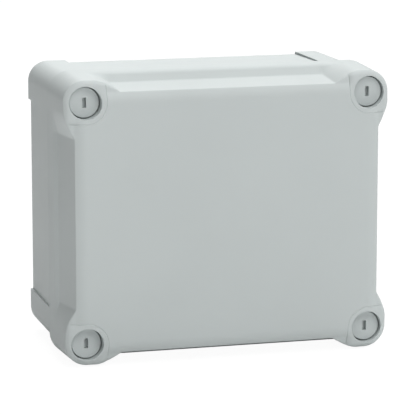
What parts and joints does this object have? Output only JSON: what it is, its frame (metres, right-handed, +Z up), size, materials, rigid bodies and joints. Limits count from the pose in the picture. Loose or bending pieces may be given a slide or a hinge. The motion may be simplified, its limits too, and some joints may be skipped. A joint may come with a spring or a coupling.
{
  "type": "electrical junction box",
  "caption": "Wall-mounted moulded junction box: base with corner columns, lift-off cover with quarter-turn screws, sealing gasket, and a rail of screw terminals inside.",
  "frame": {"origin": "centre of the flat back face, on the wall", "axes": "+X to the right, +Y into the wall, +Z up; the cover faces -Y"},
  "size_m": [0.192, 0.105, 0.164],
  "materials": {
    "shell_abs": "light grey moulded ABS with a fine even texture",
    "screw_polyamide": "light grey moulded polyamide, a little smoother than the shell",
    "gasket_foam": "dark foamed polyurethane with a soft skin",
    "retainer_acetal": "natural white acetal",
    "zinc_steel": "zinc plated steel",
    "plated_brass": "bright brass",
    "tinned_copper": "tinned copper",
    "terminal_grey": "grey polyamide",
    "terminal_blue": "blue polyamide",
    "terminal_green": "green polyamide with yellow bands"
  },
  "bodies": {
    "base": {"base_box": "shell_abs", "din_rail": "zinc_steel", "rail_screw_left": "zinc_steel", "rail_screw_right": "zinc_steel", "end_plate": "terminal_grey", "terminal_l1": "terminal_grey", "current_bar_l1": "tinned_copper", "terminal_l2": "terminal_grey", "current_bar_l2": "tinned_copper", "terminal_l3": "terminal_grey", "current_bar_l3": "tinned_copper", "terminal_n": "terminal_blue", "current_bar_n": "tinned_copper", "terminal_pe": "terminal_green", "current_bar_pe": "tinned_copper", "end_stop_left": "terminal_grey", "end_stop_screw_left": "zinc_steel", "end_stop_right": "terminal_grey", "end_stop_screw_right": "zinc_steel"},
    "cover": {"cover": "shell_abs", "cover_gasket": "gasket_foam"},
    "cover_screw_tl": {"cover_screw_tl": "screw_polyamide", "screw_retainer_tl": "retainer_acetal"},
    "cover_screw_tr": {"cover_screw_tr": "screw_polyamide", "screw_retainer_tr": "retainer_acetal"},
    "cover_screw_bl": {"cover_screw_bl": "screw_polyamide", "screw_retainer_bl": "retainer_acetal"},
    "cover_screw_br": {"cover_screw_br": "screw_polyamide", "screw_retainer_br": "retainer_acetal"},
    "clamp_screw_l1_top": {"clamp_screw_l1_top": "zinc_steel"},
    "clamp_cage_l1_top": {"clamp_cage_l1_top": "plated_brass"},
    "clamp_screw_l1_bottom": {"clamp_screw_l1_bottom": "zinc_steel"},
    "clamp_cage_l1_bottom": {"clamp_cage_l1_bottom": "plated_brass"},
    "clamp_screw_l2_top": {"clamp_screw_l2_top": "zinc_steel"},
    "clamp_cage_l2_top": {"clamp_cage_l2_top": "plated_brass"},
    "clamp_screw_l2_bottom": {"clamp_screw_l2_bottom": "zinc_steel"},
    "clamp_cage_l2_bottom": {"clamp_cage_l2_bottom": "plated_brass"},
    "clamp_screw_l3_top": {"clamp_screw_l3_top": "zinc_steel"},
    "clamp_cage_l3_top": {"clamp_cage_l3_top": "plated_brass"},
    "clamp_screw_l3_bottom": {"clamp_screw_l3_bottom": "zinc_steel"},
    "clamp_cage_l3_bottom": {"clamp_cage_l3_bottom": "plated_brass"},
    "clamp_screw_n_top": {"clamp_screw_n_top": "zinc_steel"},
    "clamp_cage_n_top": {"clamp_cage_n_top": "plated_brass"},
    "clamp_screw_n_bottom": {"clamp_screw_n_bottom": "zinc_steel"},
    "clamp_cage_n_bottom": {"clamp_cage_n_bottom": "plated_brass"},
    "clamp_screw_pe_top": {"clamp_screw_pe_top": "zinc_steel"},
    "clamp_cage_pe_top": {"clamp_cage_pe_top": "plated_brass"},
    "clamp_screw_pe_bottom": {"clamp_screw_pe_bottom": "zinc_steel"},
    "clamp_cage_pe_bottom": {"clamp_cage_pe_bottom": "plated_brass"}
  },
  "joints": [
    {"name": "cover_lift", "type": "slide", "parent": "base", "child": "cover", "axis": [0, -1, 0], "range_m": [0, 0.12]},
    {"name": "cover_screw_turn_tl", "type": "hinge", "parent": "cover", "child": "cover_screw_tl", "pos_m": [-0.08245, -0.1, 0.0683], "axis": [0, -1, 0], "range_deg": [0, 90]},
    {"name": "cover_screw_turn_tr", "type": "hinge", "parent": "cover", "child": "cover_screw_tr", "pos_m": [0.08245, -0.1, 0.0683], "axis": [0, -1, 0], "range_deg": [0, 90]},
    {"name": "cover_screw_turn_bl", "type": "hinge", "parent": "cover", "child": "cover_screw_bl", "pos_m": [-0.08245, -0.1, -0.0683], "axis": [0, -1, 0], "range_deg": [0, 90]},
    {"name": "cover_screw_turn_br", "type": "hinge", "parent": "cover", "child": "cover_screw_br", "pos_m": [0.08245, -0.1, -0.0683], "axis": [0, -1, 0], "range_deg": [0, 90]},
    {"name": "wire_clamp_turn_l1_top", "type": "hinge", "parent": "base", "child": "clamp_screw_l1_top", "pos_m": [-0.01755, -0.042, 0.013], "axis": [0, -1, 0], "range_deg": [0, 1800]},
    {"name": "wire_clamp_travel_l1_top", "type": "slide", "parent": "base", "child": "clamp_cage_l1_top", "axis": [0, 1, 0], "range_m": [0, 0.003]},
    {"name": "wire_clamp_turn_l1_bottom", "type": "hinge", "parent": "base", "child": "clamp_screw_l1_bottom", "pos_m": [-0.01755, -0.042, -0.013], "axis": [0, -1, 0], "range_deg": [0, 1800]},
    {"name": "wire_clamp_travel_l1_bottom", "type": "slide", "parent": "base", "child": "clamp_cage_l1_bottom", "axis": [0, 1, 0], "range_m": [0, 0.003]},
    {"name": "wire_clamp_turn_l2_top", "type": "hinge", "parent": "base", "child": "clamp_screw_l2_top", "pos_m": [-0.00935, -0.042, 0.013], "axis": [0, -1, 0], "range_deg": [0, 1800]},
    {"name": "wire_clamp_travel_l2_top", "type": "slide", "parent": "base", "child": "clamp_cage_l2_top", "axis": [0, 1, 0], "range_m": [0, 0.003]},
    {"name": "wire_clamp_turn_l2_bottom", "type": "hinge", "parent": "base", "child": "clamp_screw_l2_bottom", "pos_m": [-0.00935, -0.042, -0.013], "axis": [0, -1, 0], "range_deg": [0, 1800]},
    {"name": "wire_clamp_travel_l2_bottom", "type": "slide", "parent": "base", "child": "clamp_cage_l2_bottom", "axis": [0, 1, 0], "range_m": [0, 0.003]},
    {"name": "wire_clamp_turn_l3_top", "type": "hinge", "parent": "base", "child": "clamp_screw_l3_top", "pos_m": [-0.00115, -0.042, 0.013], "axis": [0, -1, 0], "range_deg": [0, 1800]},
    {"name": "wire_clamp_travel_l3_top", "type": "slide", "parent": "base", "child": "clamp_cage_l3_top", "axis": [0, 1, 0], "range_m": [0, 0.003]},
    {"name": "wire_clamp_turn_l3_bottom", "type": "hinge", "parent": "base", "child": "clamp_screw_l3_bottom", "pos_m": [-0.00115, -0.042, -0.013], "axis": [0, -1, 0], "range_deg": [0, 1800]},
    {"name": "wire_clamp_travel_l3_bottom", "type": "slide", "parent": "base", "child": "clamp_cage_l3_bottom", "axis": [0, 1, 0], "range_m": [0, 0.003]},
    {"name": "wire_clamp_turn_n_top", "type": "hinge", "parent": "base", "child": "clamp_screw_n_top", "pos_m": [0.00705, -0.042, 0.013], "axis": [0, -1, 0], "range_deg": [0, 1800]},
    {"name": "wire_clamp_travel_n_top", "type": "slide", "parent": "base", "child": "clamp_cage_n_top", "axis": [0, 1, 0], "range_m": [0, 0.003]},
    {"name": "wire_clamp_turn_n_bottom", "type": "hinge", "parent": "base", "child": "clamp_screw_n_bottom", "pos_m": [0.00705, -0.042, -0.013], "axis": [0, -1, 0], "range_deg": [0, 1800]},
    {"name": "wire_clamp_travel_n_bottom", "type": "slide", "parent": "base", "child": "clamp_cage_n_bottom", "axis": [0, 1, 0], "range_m": [0, 0.003]},
    {"name": "wire_clamp_turn_pe_top", "type": "hinge", "parent": "base", "child": "clamp_screw_pe_top", "pos_m": [0.01525, -0.042, 0.013], "axis": [0, -1, 0], "range_deg": [0, 1800]},
    {"name": "wire_clamp_travel_pe_top", "type": "slide", "parent": "base", "child": "clamp_cage_pe_top", "axis": [0, 1, 0], "range_m": [0, 0.003]},
    {"name": "wire_clamp_turn_pe_bottom", "type": "hinge", "parent": "base", "child": "clamp_screw_pe_bottom", "pos_m": [0.01525, -0.042, -0.013], "axis": [0, -1, 0], "range_deg": [0, 1800]},
    {"name": "wire_clamp_travel_pe_bottom", "type": "slide", "parent": "base", "child": "clamp_cage_pe_bottom", "axis": [0, 1, 0], "range_m": [0, 0.003]}
  ],
  "couplings": [
    {"joint": "wire_clamp_turn_l1_top", "follows": "wire_clamp_travel_l1_top", "rad_per_m": 10472},
    {"joint": "wire_clamp_turn_l1_bottom", "follows": "wire_clamp_travel_l1_bottom", "rad_per_m": 10472},
    {"joint": "wire_clamp_turn_l2_top", "follows": "wire_clamp_travel_l2_top", "rad_per_m": 10472},
    {"joint": "wire_clamp_turn_l2_bottom", "follows": "wire_clamp_travel_l2_bottom", "rad_per_m": 10472},
    {"joint": "wire_clamp_turn_l3_top", "follows": "wire_clamp_travel_l3_top", "rad_per_m": 10472},
    {"joint": "wire_clamp_turn_l3_bottom", "follows": "wire_clamp_travel_l3_bottom", "rad_per_m": 10472},
    {"joint": "wire_clamp_turn_n_top", "follows": "wire_clamp_travel_n_top", "rad_per_m": 10472},
    {"joint": "wire_clamp_turn_n_bottom", "follows": "wire_clamp_travel_n_bottom", "rad_per_m": 10472},
    {"joint": "wire_clamp_turn_pe_top", "follows": "wire_clamp_travel_pe_top", "rad_per_m": 10472},
    {"joint": "wire_clamp_turn_pe_bottom", "follows": "wire_clamp_travel_pe_bottom", "rad_per_m": 10472}
  ]
}
